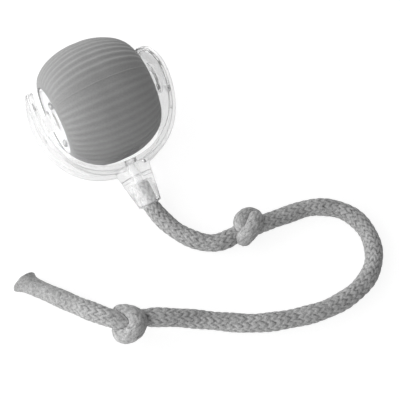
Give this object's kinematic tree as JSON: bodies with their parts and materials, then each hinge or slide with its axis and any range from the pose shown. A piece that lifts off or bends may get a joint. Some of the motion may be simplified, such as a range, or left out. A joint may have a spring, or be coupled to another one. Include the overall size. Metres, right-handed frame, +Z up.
{
  "type": "self rolling cat ball",
  "caption": "Motorised rolling ball in a ribbed silicone sleeve, turning between the ears of a clear yoke, with a swivelling socket and a knotted rope tail.",
  "frame": {"origin": "on the floor, under the middle of the toy's box without its rope", "axes": "+Z up, +X along the ball's turning axis, the rope's socket towards -Y"},
  "size_m": [0.1584, 0.1718, 0.06],
  "materials": {
    "silicone": "matt, moulded ribs along the turning axis",
    "clear_plastic": "clear polished",
    "white_plastic": "satin",
    "black_plastic": "satin",
    "steel": "bright",
    "brass": "turned",
    "circuit_board": "solder mask",
    "battery_wrap": "shrink wrap",
    "led_lens": "clear red",
    "cotton_rope": "braided cotton"
  },
  "bodies": {
    "socket": {"rope_socket": "clear_plastic", "swivel_pin": "clear_plastic", "rope_lead": "cotton_rope", "knot_near": "cotton_rope", "rope_loop": "cotton_rope", "knot_far": "cotton_rope", "rope_tail": "cotton_rope"},
    "yoke": {"yoke": "clear_plastic"},
    "ball": {"silicone_sleeve": "silicone", "shell_left": "clear_plastic", "shell_right": "clear_plastic", "joining_ring": "white_plastic", "ring_gear": "white_plastic", "end_cap_left": "clear_plastic", "end_cap_right": "clear_plastic", "bush_left": "brass", "bush_right": "brass", "cap_screw_left_1": "steel", "cap_screw_left_2": "steel", "cap_screw_left_3": "steel", "cap_screw_right_1": "steel", "cap_screw_right_2": "steel", "cap_screw_right_3": "steel"},
    "drive": {"chassis_frame": "black_plastic", "gear_motor": "steel", "motor_clamp": "white_plastic", "counterweight_front": "steel", "counterweight_back": "steel", "weight_screw_front": "steel", "weight_screw_back": "steel", "battery": "battery_wrap", "circuit_board": "circuit_board", "charging_socket": "steel", "tact_switch": "black_plastic", "led_lamp": "led_lens", "module_cover": "white_plastic"},
    "pinion": {"pinion_gear": "brass"},
    "button": {"power_button": "white_plastic"}
  },
  "joints": [
    {"name": "rope_swivel", "type": "hinge", "parent": "socket", "child": "yoke", "pos_m": [0, 0.01096, 0.03], "axis": [0, -0.8923, -0.4514], "continuous": true},
    {"name": "ball_roll", "type": "hinge", "parent": "yoke", "child": "ball", "pos_m": [0, 0.01096, 0.03], "axis": [1, 0, 0], "continuous": true},
    {"name": "module_swing", "type": "hinge", "parent": "ball", "child": "drive", "pos_m": [0, 0.01096, 0.03], "axis": [1, 0, 0], "continuous": true},
    {"name": "pinion_spin", "type": "hinge", "parent": "drive", "child": "pinion", "pos_m": [0, 0.01096, 0.018], "axis": [1, 0, 0], "continuous": true},
    {"name": "button_press", "type": "slide", "parent": "drive", "child": "button", "axis": [0, 0, -1], "range_m": [0, 0.0004], "stiffness_N_per_m": 500, "springref_m": -0.0004}
  ],
  "couplings": [
    {"joint": "pinion_spin", "follows": "module_swing", "ratio": -5}
  ]
}
